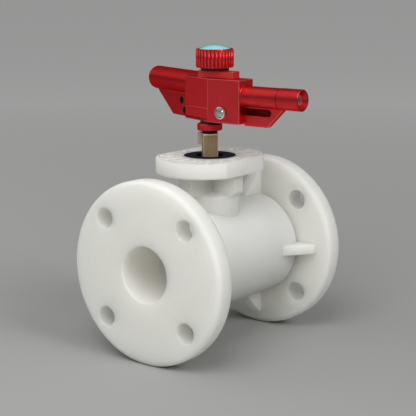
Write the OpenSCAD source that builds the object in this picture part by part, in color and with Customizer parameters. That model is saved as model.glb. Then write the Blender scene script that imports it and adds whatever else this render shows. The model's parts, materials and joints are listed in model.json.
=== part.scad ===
// Flanged plastic ball valve, nominal bore 50, with a two-arm handle and a knurled clamp knob.
// The origin is the centre of the inlet flange face. +Y runs with the flow, +Z along the stem.
// Heights named "above the flow axis" are measured from the centre line of the bore.

/* [Flanges] */
// Distance from flange face to flange face
face_to_face = 186; // [180:1:230]
// Outside diameter of both flanges
flange_d = 162; // [156:1:180]
// Thickness of each flange
flange_t = 19; // [15:0.5:24]
// Diameter of the bolt circle
bolt_circle_d = 125; // [118:1:132]
// Diameter of the bolt holes
bolt_hole_d = 18; // [12:0.5:20]
// Number of bolt holes in each flange
bolt_count = 4; // [4:4:8]
// Rounding of the flange rims
rim_round = 4; // [1:0.5:5]

/* [Flow path] */
// Diameter of the flow bore
bore_d = 50; // [40:1:52]
// Wall of the ball around its bore
ball_wall = 10.5; // [9:0.1:12]
// Radial width of the seat rings
seat_w = 6.5; // [5:0.1:7.5]
// Thickness of the seat rings behind their lip
seat_back = 5.7; // [4:0.1:7]
// Step from the ball chamber out to the thread of the end insert
insert_step = 2; // [1:0.1:4]

/* [Chamber] */
// Wall of the ball chamber
chamber_wall = 10.5; // [8:0.5:14]
// Rounding where the chamber runs into the flanges
shoulder_round = 7; // [4:0.5:9]
// Thickness of the upper and lower gussets behind the flanges
gusset_t = 10; // [6:0.5:14]
// Thickness of the side gussets
side_gusset_t = 8.6; // [6:0.2:14]
// Length of the gussets along the flow
gusset_l = 26; // [18:1:34]
// Distance of the upper and lower gussets' outer corners from the flow axis
gusset_top = 70; // [62:1:74]
// Distance of the side gussets' outer corners from the flow axis
side_gusset_top = 66; // [60:1:74]

/* [Neck and pad] */
// Height of the pad's top above the flow axis
pad_top = 91.8; // [88:0.2:100]
// Thickness of the pad
pad_t = 14.4; // [12:0.2:18]
// Length of the pad along the flow
pad_l = 104; // [98:1:112]
// Diameter of the pad's round ends
pad_end_d = 86; // [80:1:92]
// Width of the pad across its two flats
pad_flats = 78; // [70:1:90]
// Diameter of the column under the pad
column_d = 33; // [31:1:40]
// Thickness of the ribs around the column, at their ends
neck_rib_t = 12; // [8:0.5:14]
// Distance from the stem axis at which the ribs' sides meet
neck_valley = 17.2; // [16:0.2:20]
// Width across the ribs along the flow, at the pad
neck_rib_l = 69; // [60:1:80]
// Width across the ribs that lie across the flow, at the pad
neck_rib_w = 65; // [58:1:74]
// Width of the neck across the ribs, at the chamber
neck_w = 53; // [48:1:58]
// Number of radial ribs in the pad's cored top
core_ribs = 16; // [8:4:24]
// Depth of the cored top
core_depth = 1.5; // [0.5:0.1:3]

/* [Stem] */
// Diameter of the stem's round journal
journal_d = 24; // [20:0.5:28]
// Width across the flats of the stem's square
square_w = 13; // [11:0.5:15]
// Height of the stem's top above the flow axis
stem_top = 111.5; // [106:0.5:118]
// Outside diameter of the gland ring in the pad
gland_d = 46.5; // [43:0.5:50]
// Depth of the gland ring
gland_t = 8; // [5:0.5:10]

/* [Handle] */
// Thickness of the washer under the handle block
hub_washer_h = 2.4; // [1.6:0.1:4]
// Height of the handle block
block_h = 38.5; // [36:0.1:44]
// Thickness of the handle block
block_t = 20.8; // [18:0.2:24]
// Length of the block's right half along its front face
block_right_l = 34.2; // [32:0.2:40]
// Length of the block's left half along its front face
block_left_l = 38; // [32:0.5:44]
// Angle by which the left half is swept back
sweep_deg = 20; // [10:1:26]
// Offset of the block's front corner from the stem axis
corner_x = 5.8; // [4:0.2:8]
// Diameter of the left grip bar
left_bar_d = 21.5; // [18:0.1:24]
// Reach of the left grip bar from the bend of the handle
left_bar_reach = 103.5; // [92:0.5:115]
// Height of the left grip bar above the underside of the block
left_bar_rise = 31.4; // [26:0.2:32]
// Diameter of the right grip bar
right_bar_d = 18.4; // [15:0.1:20]
// Reach of the right grip bar from the stem axis
right_bar_reach = 98.9; // [90:0.1:115]
// Height of the right grip bar above the underside of the block
right_bar_rise = 24; // [20:0.2:27]
// Length of the sleeve at the end of the right bar
sleeve_l = 22; // [18:0.5:34]
// Diameter of the sleeve at the end of the right bar
sleeve_d = 18.8; // [18:0.1:21]
// Thickness of the webs under the grip bars
web_t = 6; // [5:0.5:9]

/* [Clamp knob] */
// Offset of the knob's axis from the stem axis
knob_x = 6; // [5:0.1:7]
// Diameter of the knob
knob_d = 33.6; // [30:0.2:36]
// Height of the knob
knob_h = 16.6; // [12:0.2:20]
// Number of flutes around the knob
flute_count = 30; // [24:1:36]
// Diameter of the domed cap
cap_d = 28; // [24:0.5:29]
// Height of the cap's dome
cap_rise = 3.6; // [2:0.2:5]
// Height of the plate under the knob
plate_h = 6.4; // [5:0.2:9]
// Depth of the plate under the knob
plate_w = 10.6; // [10:0.2:13]

/* [Release button] */
// Diameter of the release button
button_d = 11; // [9:0.5:12]
// Distance of the button from the stem axis
button_x = 20.3; // [18.4:0.1:22]
// Height of the button above the underside of the block
button_rise = 9.2; // [8:0.2:11]
// How far the button stands out of the block
button_proud = 3; // [2.8:0.1:4]

/* [Hidden] */
// Clearances
run_gap = 0.05;
face_gap = 0.1;

// Derived radii
bore_r = bore_d / 2;
ball_r = bore_r + ball_wall;
seat_r = bore_r + seat_w;
cavity_r = ball_r + 1;
insert_r = cavity_r + insert_step;
chamber_r = cavity_r + chamber_wall;
journal_r = journal_d / 2;
shoulder_drop = 3;
shoulder_r = chamber_r - shoulder_drop;
gusset_sink = 8;
gusset_flat = 3;
seat_relief = 0.4;

// Derived places along the flow
mid_y = face_to_face / 2;
flange_in = mid_y - flange_t;
seat_l = 11;
seat_floor = sqrt(pow(ball_r, 2) - pow(bore_r + seat_relief, 2)) + seat_back;
insert_thread_start = seat_floor + 3.5;
spanner_hole_r = 3.5;
spanner_hole_l = 8;

// O-rings and their grooves
o_ring_wire = 2.6;
groove_w = o_ring_wire + 0.6;
seat_o_ring_r = seat_r - 1.2;
insert_groove_y = seat_floor - 4;
insert_groove_r = cavity_r - o_ring_wire - 2 * run_gap;
gland_groove_z = pad_top - gland_t + 2;

// Heights along the stem
slot_depth = 7.5;
slot_floor = ball_r - slot_depth;
slot_w = 10;
collar_bottom = ball_r + 0.7;
collar_h = 4.8;
collar_lip = 5;
collar_r = journal_r + collar_lip;
washer_t = 1.5;
washer_bottom = collar_bottom + collar_h + run_gap;
recess_top = washer_bottom + washer_t;
journal_top = pad_top - 3.4;
stem_o_ring_rise = 5;
stem_o_ring_pitch = 8;
stem_o_rings_z = [chamber_r + stem_o_ring_rise, chamber_r + stem_o_ring_rise + stem_o_ring_pitch];
stem_bevel = 1.2;
lug_w = 7;
lug_h = 10.8;
lug_x = -square_w / sqrt(2) - 3.4;

// Cored top of the pad and the neck's foot
core_rim = 3;
core_rib_w = 2.6;
core_start_r = gland_d / 2 + 4;
rib_step_drop = 16;
rib_slope_h = 4;
foot_top = pad_top - pad_t - rib_step_drop - rib_slope_h;
foot_cone_h = 5;
foot_root = foot_top - 30;

// Drive stud, hub collar and washer
stud_d = 11;
stud_neck_d = 14;
stud_neck_h = 2.8;
hub_collar_d = 22.5;
hub_collar_h = 6.1;
hub_collar_edge = 0.8;
hub_washer_d = 17;
spigot_w = 8;
spigot_l = 14;
stud_pin_r = 1.5;
set_screw_r = 2;
hub_collar_z = stem_top + stud_neck_h;
hub_washer_z = hub_collar_z + hub_collar_h;
block_z = hub_washer_z + hub_washer_h;

// Handle plan: the corner of the front face, the bend of the centre lines and the left direction
corner = [corner_x, -block_t / 2];
miter = block_t / cos(sweep_deg / 2);
bend = corner + miter / 2 * [sin(sweep_deg / 2), cos(sweep_deg / 2)];
back_corner = corner + miter * [sin(sweep_deg / 2), cos(sweep_deg / 2)];
left_dir = [-cos(sweep_deg), sin(sweep_deg)];
left_back = [sin(sweep_deg), cos(sweep_deg)];
block_end = corner_x + block_right_l;
block_top = block_z + block_h;
left_face_reach = (corner + block_left_l * left_dir - bend) * left_dir;
cover_rise = 2.6;
cover_h = 9.8;
cover_depth = 1.4;
cover_gap = 0.15;

// Release button, and the stud's hooked head that it holds
button_r = button_d / 2;
button_z = block_z + button_rise;
button_front = -block_t / 2 - button_proud;
button_waist_r = 2.7;
button_dome = 1.1;
button_collar_w = 2.4;
head_tooth_w = 2;
head_tooth_end = button_x - button_waist_r - face_gap;
head_x = button_x - button_r - 1.3;
head_top = button_z + 7;
head_gap = 0.2;
button_travel = (button_collar_w + head_tooth_w) / 2 + 0.3;
button_waist_l = button_travel + 0.9;
spring_wire = 0.4;
spring_turns = 3;
spring_seat = button_collar_w / 2 + button_travel + (spring_turns + 1) * spring_wire + 0.3;
clip_seat = spring_seat + 1.4;
clip_t = 0.7;
clip_r = 4.4;

// Clamp knob stack
plate_z = block_top;
plate_x = [knob_x - 15, block_end - 10.7];
plate_screw_x = [knob_x - 10, knob_x + 10];
plate_screw_r = 1.5;
plate_screw_l = 7.5;
screw_head_r = 2.75;
screw_head_h = 3.2;
neck_ring_z = plate_z + plate_h;
neck_ring_h = 2.6;
neck_ring_d = 25;
knob_z = neck_ring_z + neck_ring_h;
knob_top = knob_z + knob_h;
boss_r = 4;
retainer_r = 6.5;
retainer_h = 2.4;
retainer_gap = 0.4;
plunger_r = 2.5;
plunger_tip = head_top + face_gap;
plunger_top = knob_z + 6;
cap_seat = 1.6;
flute_share = 0.46;

// Grip bars and webs
left_bar_z = block_z + left_bar_rise;
right_bar_z = block_z + right_bar_rise;
bar_bolt_r = 3;
bolt_grip = 9;
tenon_l = 18;
tenon_w = 14.6;
left_bolt_start = left_face_reach - tenon_l - 5;
left_bolt_end = left_bar_reach - 14;
root_fillet = 1.1;
seam = 0.5;
sleeve_x = right_bar_reach - sleeve_l;
sleeve_bore_r = 6.5;
socket_l = 8;
funnel_depth = 4.2;
funnel_r = 7.8;
bolt_head_r = 5.2;
bolt_head_h = 4;
left_web_drop = 0.4;
left_web_foot_l = 34.2;
left_web_foot = left_face_reach + left_web_foot_l;
left_web_tip = left_bar_reach - 2;
right_web_drop = 1.6;
right_web_foot_l = 24.4;
right_web_tip_l = 43;
pocket_l = 27.7;
right_web_foot = block_end + right_web_foot_l;
right_web_tip = block_end + right_web_tip_l;
pocket_x = [block_end + 1, block_end + 1 + pocket_l];
pocket_z = [block_z + 8, block_z + 14.4];
pocket_depth = 4;
web_hole_d = 7.4;
web_liner_t = 0.8;
web_holes = [
    [left_face_reach + 18.4, block_z + 13.9],
    [left_face_reach + 13.2, block_z + 4.7]
];

$fn = 96;

// Moves a shape from the ball's centre to its place in the valve
module at_ball() {
    translate([0, mid_y, 0]) children();
}

// Turns a profile of radius and distance along the flow into a round solid
module around_flow() {
    rotate([-90, 0, 0]) rotate_extrude() children();
}

// Cylinder along the flow, from one place to another
module flow_cylinder(r, from, to) {
    translate([0, from, 0]) rotate([-90, 0, 0]) cylinder(r = r, h = to - from);
}

// Upright ring
module ring(r_out, r_in, z, h) {
    translate([0, 0, z]) difference() {
        cylinder(r = r_out, h = h);
        translate([0, 0, -1]) cylinder(r = r_in, h = h + 2);
    }
}

// Upright cylinder from one height to another
module post(r, from, to) {
    translate([0, 0, from]) cylinder(r = r, h = to - from);
}

// Square bar turned by 45 degrees, between two heights
module square_bar(w, from, to) {
    translate([0, 0, from]) rotate([0, 0, 45])
        translate([-w / 2, -w / 2, 0]) cube([w, w, to - from]);
}

// Half profile of a flange with rounded rims, from the inner face outwards
module flange_profile() {
    r = flange_d / 2;
    translate([0, flange_in]) {
        square([r - rim_round, flange_t]);
        translate([0, rim_round]) square([r, flange_t - 2 * rim_round]);
        translate([r - rim_round, rim_round]) circle(r = rim_round);
        translate([r - rim_round, flange_t - rim_round]) circle(r = rim_round);
    }
}

// Half profile of the chamber with its shoulder
module chamber_profile() {
    drop = chamber_r - shoulder_r;
    bow = shoulder_round - drop;
    centre_y = flange_in - sqrt(pow(shoulder_round, 2) - pow(bow, 2));
    square([chamber_r, centre_y]);
    intersection() {
        union() {
            square([chamber_r - shoulder_round, flange_in + 1]);
            translate([chamber_r - shoulder_round, centre_y]) circle(r = shoulder_round);
        }
        square([chamber_r, flange_in + 1]);
    }
}

// Outer form of one half of the casting, towards +Y
module half_shell() {
    around_flow() {
        flange_profile();
        chamber_profile();
    }
    for (turn = [0, 180]) {
        rotate([0, turn, 0]) gusset(gusset_t, gusset_top);
        rotate([0, turn + 90, 0]) gusset(side_gusset_t, side_gusset_top);
    }
}

// One gusset between the chamber and the back of a flange
module gusset(t, top) {
    start = flange_in - gusset_l;
    root = chamber_r - gusset_sink;
    translate([-t / 2, 0, 0]) rotate([90, 0, 90]) linear_extrude(t)
        polygon([
            [start, root],
            [start, chamber_r],
            [flange_in - gusset_flat, top],
            [flange_in + 1, top],
            [flange_in + 1, root]
        ]);
}

// Column, ribs and foot that carry the pad
module neck() {
    pad_bottom = pad_top - pad_t;
    post(column_d / 2, foot_top, pad_bottom + 1);
    post(neck_w / 2, foot_root, foot_top);
    translate([0, 0, foot_top])
        cylinder(r1 = neck_w / 2, r2 = column_d / 2, h = foot_cone_h);
    intersection() {
        translate([0, 0, foot_top - 1]) linear_extrude(pad_bottom + 2 - foot_top) rib_star();
        union() {
            rib(neck_w, neck_w / 2 + 0.5, neck_rib_l / 2, pad_bottom);
            rotate([0, 0, 90]) rib(neck_w, neck_w / 2 + 0.5, neck_rib_w / 2, pad_bottom);
        }
    }
    rib(neck_rib_t, neck_w / 2 + 0.5, neck_rib_l / 2, pad_bottom);
    rotate([0, 0, 90]) rib(neck_rib_t, neck_w / 2 + 0.5, neck_rib_w / 2, pad_bottom);
}

// Plan of the four ribs, whose sides widen towards the column
module rib_star() {
    half = neck_rib_t / 2;
    valley = neck_valley / sqrt(2);
    long = neck_rib_l / 2;
    wide = neck_rib_w / 2;
    polygon([
        [half, -long], [valley, -valley], [wide, -half],
        [wide, half], [valley, valley], [half, long],
        [-half, long], [-valley, valley], [-wide, half],
        [-wide, -half], [-valley, -valley], [-half, -long]
    ]);
}

// A pair of ribs along Y, wider under the pad
module rib(t, reach_low, reach_top, pad_bottom) {
    step_z = pad_bottom - rib_step_drop;
    translate([-t / 2, 0, 0]) rotate([90, 0, 90]) linear_extrude(t)
        polygon([
            [-reach_low, foot_root], [reach_low, foot_root],
            [reach_low, foot_top], [reach_top, step_z],
            [reach_top, pad_bottom + 1], [-reach_top, pad_bottom + 1],
            [-reach_top, step_z], [-reach_low, foot_top]
        ]);
}

// Mounting pad with two flats and round ends
module pad() {
    end_y = (pad_l - pad_end_d) / 2;
    intersection() {
        union() {
            for (side = [-1, 1]) translate([0, side * end_y, pad_top - pad_t]) pad_end(1);
            translate([-pad_end_d / 2, -end_y, pad_top - pad_t]) cube([pad_end_d, 2 * end_y, pad_t]);
        }
        translate([-pad_flats / 2, -pad_l, 0]) cube([pad_flats, 2 * pad_l, 2 * pad_top]);
    }
}

// Disc with bevelled edges
module pad_end(edge) {
    r = pad_end_d / 2;
    rotate_extrude() polygon([
        [0, 0], [r - edge, 0], [r, edge], [r, pad_t - edge], [r - edge, pad_t], [0, pad_t]
    ]);
}

// Shallow recess in the pad's top, crossed by radial ribs
module pad_core() {
    r = pad_end_d / 2 - core_rim;
    end_y = (pad_l - pad_end_d) / 2;
    difference() {
        intersection() {
            union() for (side = [-1, 1])
                translate([0, side * end_y, 0]) post(r, pad_top - core_depth, pad_top + 1);
            translate([core_rim - pad_flats / 2, -pad_l, 0])
                cube([pad_flats - 2 * core_rim, 2 * pad_l, 2 * pad_top]);
        }
        post(core_start_r, 0, 2 * pad_top);
        for (i = [0 : core_ribs - 1]) rotate([0, 0, (i + 0.5) * 360 / core_ribs])
            translate([0, -core_rib_w / 2, 0]) cube([pad_l, core_rib_w, 2 * pad_top]);
    }
}

// Everything cut out along the flow
module flow_cuts() {
    flow_cylinder(bore_r, -mid_y - 1, 0);
    flow_cylinder(seat_r, -seat_floor, 0);
    flow_cylinder(cavity_r, -seat_floor + seat_l, insert_thread_start);
    flow_cylinder(insert_r + run_gap, insert_thread_start, mid_y + 1);
}

// Everything cut out along the stem
module stem_cuts() {
    post(collar_r + face_gap, 20, recess_top);
    post(journal_r + run_gap, 20, pad_top + 1);
    post(gland_d / 2 + run_gap, pad_top - gland_t, pad_top + 1);
}

// Bolt holes through both flanges
module bolt_holes() {
    for (i = [0 : bolt_count - 1])
        rotate([0, 180 / bolt_count + i * 360 / bolt_count, 0])
            translate([bolt_circle_d / 2, 0, 0])
                flow_cylinder(bolt_hole_d / 2, -mid_y - 1, mid_y + 1);
}

module valve_body() color("#e8e8e0") at_ball() {
    difference() {
        union() {
            half_shell();
            mirror([0, 1, 0]) half_shell();
            neck();
            pad();
        }
        flow_cuts();
        stem_cuts();
        bolt_holes();
        pad_core();
    }
}

// Screwed in from the outlet; it closes the ball chamber and holds the outlet seat
module end_insert() color("#dededa") at_ball() {
    spanner_r = (bore_r + insert_r) / 2;
    nose_end = seat_floor - seat_l;
    difference() {
        union() {
            flow_cylinder(cavity_r - face_gap, nose_end, insert_thread_start + 1);
            flow_cylinder(insert_r, insert_thread_start + face_gap, mid_y);
        }
        flow_cylinder(bore_r, 0, mid_y + 1);
        flow_cylinder(seat_r, 0, seat_floor);
        around_flow() translate([insert_groove_r, insert_groove_y])
            square([o_ring_wire + 1, groove_w]);
        for (i = [0 : 3]) rotate([0, i * 90, 0]) translate([spanner_r, 0, 0])
            flow_cylinder(spanner_hole_r, mid_y - spanner_hole_l, mid_y + 1);
    }
}

// Round sealing ring about the flow axis
module flow_o_ring(r_out, y) {
    around_flow() translate([r_out - o_ring_wire / 2, y]) circle(d = o_ring_wire, $fn = 32);
}

module insert_o_ring() color("#1c1c1e") at_ball() {
    flow_o_ring(cavity_r - run_gap, insert_groove_y + groove_w / 2);
}

// Seat ring on the inlet side; its face follows the ball
module seat() {
    difference() {
        flow_cylinder(seat_r - run_gap, -seat_floor, -seat_floor + seat_l);
        flow_cylinder(bore_r + seat_relief, -mid_y, 0);
        sphere(r = ball_r + run_gap);
        around_flow() translate([seat_o_ring_r - o_ring_wire, -seat_floor - 1])
            square([o_ring_wire, 1 + o_ring_wire]);
    }
}

module inlet_seat() color("#f4f4f2") at_ball() seat();

module outlet_seat() color("#f4f4f2") at_ball() mirror([0, 1, 0]) seat();

module inlet_seat_o_ring() color("#1c1c1e") at_ball() {
    flow_o_ring(seat_o_ring_r, -seat_floor + o_ring_wire / 2);
}

module outlet_seat_o_ring() color("#1c1c1e") at_ball() {
    flow_o_ring(seat_o_ring_r, seat_floor - o_ring_wire / 2);
}

// Drawn closed, so its bore lies across the flow and its slot along it
module ball() color("#e4e4de") at_ball() {
    difference() {
        sphere(r = ball_r);
        translate([-2 * ball_r, 0, 0]) rotate([0, 90, 0]) cylinder(r = bore_r, h = 4 * ball_r);
        translate([-slot_w / 2, -2 * ball_r, slot_floor]) cube([slot_w, 4 * ball_r, 2 * ball_r]);
    }
}

module stem() color("#83694d") at_ball() {
    tongue_w = slot_w - 2 * run_gap;
    difference() {
        union() {
            intersection() {
                translate([-tongue_w / 2, -collar_r, slot_floor + run_gap])
                    cube([tongue_w, 2 * collar_r, collar_bottom + 1 - slot_floor]);
                post(collar_r - 4, 0, pad_top);
            }
            post(collar_r, collar_bottom, collar_bottom + collar_h);
            post(journal_r, collar_bottom, journal_top);
            intersection() {
                square_bar(square_w, journal_top - 1, stem_top);
                union() {
                    post(square_w, 0, stem_top - stem_bevel);
                    translate([0, 0, stem_top - stem_bevel])
                        cylinder(r1 = square_w * 0.72, r2 = square_w * 0.62, h = stem_bevel);
                }
            }
        }
        for (z = stem_o_rings_z) ring(journal_r + 1, journal_r - o_ring_wire, z, groove_w);
        square_bar(spigot_w + 2 * run_gap, stem_top - spigot_l, stem_top + 1);
        stud_pin_hole();
    }
}

// Rod across the square, at the middle of the drive stud's spigot
module cross_rod(l) {
    translate([0, 0, stem_top - spigot_l / 2]) rotate([0, 90, 45])
        cylinder(r = stud_pin_r, h = l, center = true);
}

// Cross hole for the pin that ties the drive stud to the stem
module stud_pin_hole() {
    cross_rod(2 * square_w);
}

module stud_pin() color("#8a8c8e") at_ball() {
    cross_rod(square_w);
}

module thrust_washer() color("#efefec") at_ball() {
    ring(collar_r, journal_r + face_gap, washer_bottom + run_gap / 2, washer_t - run_gap);
}

module stem_o_rings() color("#1c1c1e") at_ball() {
    for (z = stem_o_rings_z)
        translate([0, 0, z + groove_w / 2]) rotate_extrude()
            translate([journal_r - o_ring_wire / 2, 0]) circle(d = o_ring_wire, $fn = 32);
}

// Ring that closes the stem bore; its top is flush with the pad
module gland_ring() color("#131f2b") at_ball() {
    difference() {
        ring(gland_d / 2, journal_r + 0.6, pad_top - gland_t, gland_t);
        ring(gland_d / 2 + 1, gland_d / 2 - o_ring_wire, gland_groove_z, groove_w);
    }
}

module gland_o_ring() color("#1c1c1e") at_ball() {
    translate([0, 0, gland_groove_z + groove_w / 2]) rotate_extrude()
        translate([gland_d / 2 - o_ring_wire / 2, 0]) circle(d = o_ring_wire, $fn = 32);
}

// Dog on the corner of the square
module stop_lug() color("#87807a") at_ball() {
    difference() {
        translate([lug_x, -1.5, stem_top - lug_h]) cube([lug_w, lug_w, lug_h]);
        square_bar(square_w, stem_top - lug_h - 1, stem_top + 1);
    }
}

// Hooked head of the drive stud: its tooth rests on the button's collar
module stud_head() {
    difference() {
        union() {
            post(stud_d / 2, block_z, head_top);
            translate([0, -stud_d / 2, block_z + 1.2])
                cube([head_x, stud_d, head_top - block_z - 1.2]);
            translate([0, -head_tooth_w / 2, button_z - 1])
                cube([head_tooth_end, head_tooth_w, head_top - button_z + 1]);
        }
        translate([button_x, 0, button_z]) rotate([90, 0, 0])
            cylinder(r = button_r + face_gap, h = 2 * block_t, center = true);
    }
}

module drive_stud() color("#1d1d1f") at_ball() {
    difference() {
        union() {
            square_bar(spigot_w, stem_top - spigot_l, stem_top);
            post(stud_neck_d / 2, stem_top, hub_collar_z);
            post(stud_d / 2, stem_top, block_z + 1);
            stud_head();
        }
        stud_pin_hole();
    }
}

module hub_collar() color("#a02528") at_ball() {
    r = hub_collar_d / 2;
    edge = hub_collar_edge;
    difference() {
        translate([0, 0, hub_collar_z]) rotate_extrude() polygon([
            [stud_d / 2, 0], [r - edge, 0], [r, edge],
            [r, hub_collar_h - edge], [r - edge, hub_collar_h], [stud_d / 2, hub_collar_h]
        ]);
        set_screw_hole();
    }
}

// Radial hole at the back of the hub collar
module set_screw_hole() {
    translate([0, 0, hub_collar_z + hub_collar_h / 2]) rotate([-90, 0, 0])
        cylinder(r = set_screw_r, h = hub_collar_d);
}

module collar_set_screw() color("#2a2a2c") at_ball() {
    screw_l = hub_collar_d / 2 - stud_d / 2 - 0.8;
    translate([0, stud_d / 2, hub_collar_z + hub_collar_h / 2]) rotate([-90, 0, 0]) difference() {
        cylinder(r = set_screw_r, h = screw_l);
        translate([0, 0, screw_l - 2]) cylinder(d = 2.3, h = 3, $fn = 6);
    }
}

module hub_washer() color("#1c1c1e") at_ball() {
    ring(hub_washer_d / 2, stud_d / 2, hub_washer_z, hub_washer_h);
}

// Plan of the handle block, bent at its middle
module block_plan() {
    polygon([
        corner,
        [block_end, -block_t / 2],
        [block_end, block_t / 2],
        back_corner,
        corner + block_left_l * left_dir + block_t * left_back,
        corner + block_left_l * left_dir
    ]);
}

// Slot in the underside of the block for the stud's hooked head
module head_slot() {
    top = head_top + face_gap / 2;
    post(stud_d / 2 + head_gap, block_z - 1, top);
    translate([0, -stud_d / 2 - head_gap, block_z - 1])
        cube([head_x + head_gap, stud_d + 2 * head_gap, top - block_z + 1]);
    translate([0, -head_tooth_w / 2 - head_gap, block_z - 1])
        cube([button_x, head_tooth_w + 2 * head_gap, top - block_z + 1]);
}

// Stepped bore for the release button, from the front face to the back
module button_bore() {
    translate([button_x, 0, button_z]) {
        flow_cylinder(button_r + run_gap, -block_t, spring_seat);
        flow_cylinder(button_waist_r + run_gap, 0, block_t);
        flow_cylinder(clip_r + 0.4, clip_seat, block_t);
    }
}

// Recess in the left-front face for the cover plate
module cover_place(gap) {
    translate([corner.x, corner.y, block_z + cover_rise]) rotate([0, 0, -sweep_deg])
        translate([-block_left_l - 1, -1, gap])
            cube([block_left_l + 0.6 - gap, cover_depth + 1, cover_h - 2 * gap]);
}

module handle_block() color("#a42328") at_ball() {
    difference() {
        translate([0, 0, block_z]) linear_extrude(block_h) block_plan();
        head_slot();
        button_bore();
        translate([knob_x, 0, 0]) {
            post(plunger_r + run_gap, head_top - 1, block_top + 1);
            post(retainer_r + retainer_gap, block_top - retainer_h - retainer_gap, block_top + 1);
        }
        for (x = plate_screw_x)
            translate([x, 0, 0]) post(plate_screw_r, block_top - plate_screw_l - 0.5, block_top + 1);
        cover_place(0);
        bar_bolt_holes();
        on_left_axis() bar_tenon(run_gap);
    }
}

module cover_plate() color("#9c2226") at_ball() {
    intersection() {
        cover_place(cover_gap);
        translate([0, 0, block_z]) linear_extrude(block_h) block_plan();
    }
}

// Tapped holes in the block's ends for the bolts inside the grip bars
module bar_bolt_holes() {
    on_left_axis() translate([0, 0, left_bolt_start])
        cylinder(r = bar_bolt_r, h = left_face_reach - left_bolt_start);
    on_right_axis() translate([0, 0, block_end - bolt_grip])
        cylinder(r = bar_bolt_r, h = bolt_grip + 1);
}

// Axis of the left grip bar, from the bend outwards
module on_left_axis() {
    translate([bend.x, bend.y, left_bar_z]) rotate([0, -90, -sweep_deg]) children();
}

// Axis of the right grip bar, from the stem axis outwards
module on_right_axis() {
    translate([0, 0, right_bar_z]) rotate([0, 90, 0]) children();
}

// Bar with rounded far end
module rounded_bar(d, from, to, edge) {
    translate([0, 0, from]) rotate_extrude() {
        square([d / 2, to - from - edge]);
        square([d / 2 - edge, to - from]);
        translate([d / 2 - edge, to - from - edge]) circle(r = edge);
    }
}

// End of the left bar, flattened on both sides, that sits in the block and stands above it
module bar_tenon(gap) {
    intersection() {
        translate([0, 0, left_face_reach - tenon_l - gap])
            cylinder(r = left_bar_d / 2 + gap, h = tenon_l + 1 + gap);
        translate([-left_bar_d, -tenon_w / 2 - gap, 0])
            cube([2 * left_bar_d, tenon_w + 2 * gap, left_bar_reach]);
    }
}

module left_grip_bar() color("#a42328") at_ball() {
    on_left_axis() difference() {
        union() {
            rounded_bar(left_bar_d, left_face_reach, left_bar_reach, 2.6);
            bar_tenon(0);
        }
        translate([0, 0, left_bolt_start]) cylinder(r = bar_bolt_r, h = left_bolt_end - left_bolt_start + 1);
    }
}

// Bolt that holds the left bar to the block
module left_bar_bolt() color("#7c7e80") at_ball() {
    on_left_axis() translate([0, 0, left_bolt_start])
        cylinder(r = bar_bolt_r, h = left_bolt_end - left_bolt_start);
}

// Small fillet where the right bar meets the block
module bar_root() {
    outer = right_bar_d / 2 + root_fillet;
    translate([0, 0, block_end]) rotate_extrude() difference() {
        square([outer, root_fillet]);
        translate([outer, root_fillet]) circle(r = root_fillet);
    }
}

module right_grip_bar() color("#a42328") at_ball() {
    on_right_axis() difference() {
        union() {
            bar_root();
            translate([0, 0, block_end]) cylinder(d = right_bar_d, h = sleeve_x - block_end - seam);
            translate([0, 0, block_end])
                cylinder(d = right_bar_d - 2 * seam, h = sleeve_x - block_end);
            translate([0, 0, sleeve_x - 1]) cylinder(r = sleeve_bore_r, h = socket_l + 1);
        }
        translate([0, 0, block_end - 1]) cylinder(r = bar_bolt_r, h = right_bar_reach - block_end);
    }
}

module right_grip_sleeve() color("#a42328") at_ball() {
    edge = 0.6;
    head_z = right_bar_reach - funnel_depth - bolt_head_h;
    neck_r = right_bar_d / 2 - seam;
    on_right_axis() rotate_extrude() polygon([
        [bar_bolt_r, sleeve_x + socket_l],
        [sleeve_bore_r, sleeve_x + socket_l],
        [sleeve_bore_r, sleeve_x],
        [neck_r, sleeve_x],
        [neck_r, sleeve_x + seam],
        [sleeve_d / 2, sleeve_x + seam],
        [sleeve_d / 2, right_bar_reach - edge],
        [sleeve_d / 2 - edge, right_bar_reach],
        [funnel_r, right_bar_reach],
        [bolt_head_r, right_bar_reach - funnel_depth],
        [bolt_head_r, head_z],
        [bar_bolt_r, head_z]
    ]);
}

// Long screw through the right bar; its head shows in the funnel
module right_bar_bolt() color("#b06058") at_ball() {
    head_z = right_bar_reach - funnel_depth - bolt_head_h;
    on_right_axis() difference() {
        union() {
            translate([0, 0, block_end - bolt_grip])
                cylinder(r = bar_bolt_r, h = head_z - block_end + bolt_grip);
            translate([0, 0, head_z]) cylinder(r = bolt_head_r - 0.4, h = bolt_head_h + 0.6);
        }
        translate([0, 0, head_z + 2]) cylinder(d = 4.6, h = 4, $fn = 6);
    }
}

module left_web() color("#9e2327") at_ball() {
    difference() {
        translate([bend.x, bend.y, 0]) rotate([90, 0, 180 - sweep_deg])
            translate([0, 0, -web_t / 2]) linear_extrude(web_t) polygon([
                [left_face_reach, block_z - left_web_drop],
                [left_web_foot, block_z - left_web_drop],
                [left_web_tip, left_bar_z - left_bar_d / 2 + 3],
                [left_web_tip, left_bar_z],
                [left_face_reach, left_bar_z]
            ]);
        on_left_axis() cylinder(d = left_bar_d, h = left_bar_reach);
        at_web_holes() cylinder(d = web_hole_d, h = 3 * web_t, center = true);
    }
}

// Axes of the holes in the left web
module at_web_holes() {
    translate([bend.x, bend.y, 0]) rotate([90, 0, 180 - sweep_deg])
        for (hole = web_holes) translate([hole.x, hole.y, 0]) children();
}

// Two sleeves that line the locking holes
module web_liners() color("#1c1c1e") at_ball() {
    at_web_holes() difference() {
        cylinder(d = web_hole_d, h = web_t, center = true);
        cylinder(r = web_hole_d / 2 - web_liner_t, h = 2 * web_t, center = true);
    }
}

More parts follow.
